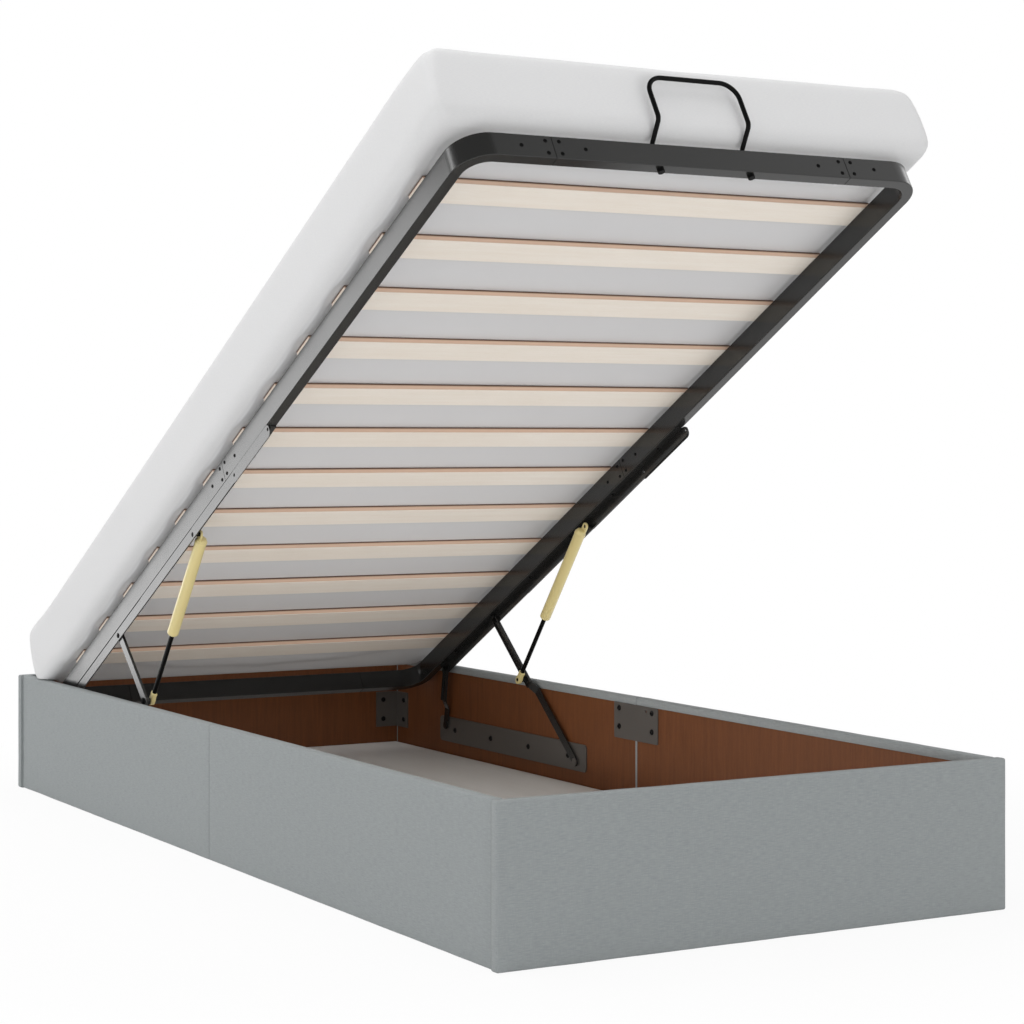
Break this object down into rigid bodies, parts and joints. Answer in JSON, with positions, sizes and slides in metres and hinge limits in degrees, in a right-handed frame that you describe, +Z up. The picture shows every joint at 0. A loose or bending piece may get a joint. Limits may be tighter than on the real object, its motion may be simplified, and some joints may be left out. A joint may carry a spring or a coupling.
{
  "type": "ottoman bed",
  "caption": "Single bed with an upholstered box base, and a slatted frame and mattress that lift on arms and gas struts.",
  "frame": {"origin": "on the floor under the middle of the base", "axes": "+Z up, +Y from the foot end to the head end, +X across the bed"},
  "size_m": [0.932, 2.03, 1.3168],
  "materials": {
    "upholstery": "woven linen look",
    "board": "raw brown fibreboard",
    "batten": "planed softwood",
    "floor_panel": "white-faced hardboard",
    "dark_plate": "satin powder coat",
    "arm_steel": "satin powder coat",
    "frame_steel": "satin powder coat",
    "black_fittings": "black oxide",
    "bolt_steel": "dark zinc",
    "strut_body": "yellow zinc",
    "strut_rod": "black nitride",
    "slat_wood": "pale plywood",
    "mattress": "smooth knitted ticking"
  },
  "bodies": {
    "root": {"foot_board": "board", "head_board": "board", "side_board_front_left": "board", "side_board_front_right": "board", "side_board_rear_left": "board", "side_board_rear_right": "board", "foot_board_cover": "upholstery", "head_board_cover": "upholstery", "side_cover_front_left": "upholstery", "side_cover_front_right": "upholstery", "side_cover_rear_left": "upholstery", "side_cover_rear_right": "upholstery", "joining_plate_left": "dark_plate", "joining_plate_right": "dark_plate", "corner_brackets_foot": "dark_plate", "corner_brackets_head": "dark_plate", "mechanism_plate_left": "dark_plate", "mechanism_plate_right": "dark_plate", "base_studs": "dark_plate", "board_bolts": "bolt_steel", "floor_ledgers": "batten", "floor_beam": "batten", "floor_panel_front": "floor_panel", "floor_panel_rear": "floor_panel"},
    "front_arm_left": {"front_arm_left": "arm_steel"},
    "rear_arm_left": {"rear_arm_left": "arm_steel"},
    "strut_cylinder_left": {"strut_cylinder_left": "strut_body"},
    "strut_rod_left": {"strut_rod_left": "strut_rod", "strut_eye_left": "strut_body"},
    "front_arm_right": {"front_arm_right": "arm_steel"},
    "rear_arm_right": {"rear_arm_right": "arm_steel"},
    "strut_cylinder_right": {"strut_cylinder_right": "strut_body"},
    "strut_rod_right": {"strut_rod_right": "strut_rod", "strut_eye_right": "strut_body"},
    "platform": {"foot_rail": "frame_steel", "tail_rail": "frame_steel", "corner_rail_foot_left": "frame_steel", "corner_rail_foot_right": "frame_steel", "corner_rail_tail_left": "frame_steel", "corner_rail_tail_right": "frame_steel", "splice_sleeves": "frame_steel", "top_plate_left": "arm_steel", "top_plate_right": "arm_steel", "frame_pins": "black_fittings", "lift_handle": "black_fittings", "handle_nuts": "black_fittings", "slat_01": "slat_wood", "slat_02": "slat_wood", "slat_03": "slat_wood", "slat_04": "slat_wood", "slat_05": "slat_wood", "slat_06": "slat_wood", "slat_07": "slat_wood", "slat_08": "slat_wood", "slat_09": "slat_wood", "slat_10": "slat_wood", "slat_11": "slat_wood", "slat_12": "slat_wood", "mattress": "mattress"}
  },
  "joints": [
    {"name": "lift", "type": "hinge", "parent": "root", "child": "front_arm_left", "pos_m": [0, 0.2126, 0.08947], "axis": [1, 0, 0], "range_deg": [-28.06, 0], "stiffness_Nm_per_rad": 400, "springref_deg": 85.94},
    {"name": "platform_tilt", "type": "hinge", "parent": "front_arm_left", "child": "platform", "pos_m": [0, 0.51665, 0.35752], "axis": [1, 0, 0], "range_deg": [0, 57.7]},
    {"name": "front_arm_right_swing", "type": "hinge", "parent": "root", "child": "front_arm_right", "pos_m": [0, 0.2126, 0.08947], "axis": [1, 0, 0], "range_deg": [-28.07, 0]},
    {"name": "rear_arm_left_swing", "type": "hinge", "parent": "platform", "child": "rear_arm_left", "pos_m": [0, 0.73222, 0.23491], "axis": [1, 0, 0], "range_deg": [-91.86, 0]},
    {"name": "strut_left_swing", "type": "hinge", "parent": "platform", "child": "strut_cylinder_left", "pos_m": [0, 0.14257, 0.56856], "axis": [1, 0, 0], "range_deg": [0, 14.16]},
    {"name": "strut_left_stroke", "type": "slide", "parent": "strut_cylinder_left", "child": "strut_rod_left", "axis": [0, 0.6048, -0.7963], "range_m": [-0.14355, 0]},
    {"name": "rear_arm_right_swing", "type": "hinge", "parent": "platform", "child": "rear_arm_right", "pos_m": [0, 0.73222, 0.23491], "axis": [1, 0, 0], "range_deg": [-91.86, 0]},
    {"name": "strut_right_swing", "type": "hinge", "parent": "platform", "child": "strut_cylinder_right", "pos_m": [0, 0.14257, 0.56856], "axis": [1, 0, 0], "range_deg": [0, 14.16]},
    {"name": "strut_right_stroke", "type": "slide", "parent": "strut_cylinder_right", "child": "strut_rod_right", "axis": [0, 0.6048, -0.7963], "range_m": [-0.14355, 0]}
  ],
  "couplings": [
    {"joint": "platform_tilt", "follows": "lift", "ratio": -2.056},
    {"joint": "front_arm_right_swing", "follows": "lift", "ratio": 1},
    {"joint": "rear_arm_left_swing", "follows": "lift", "ratio": 3.2734},
    {"joint": "strut_left_swing", "follows": "lift", "ratio": -0.50417},
    {"joint": "strut_left_stroke", "follows": "lift", "m_per_rad": 0.29291},
    {"joint": "rear_arm_right_swing", "follows": "lift", "ratio": 3.2734},
    {"joint": "strut_right_swing", "follows": "lift", "ratio": -0.50417},
    {"joint": "strut_right_stroke", "follows": "lift", "m_per_rad": 0.29291}
  ]
}
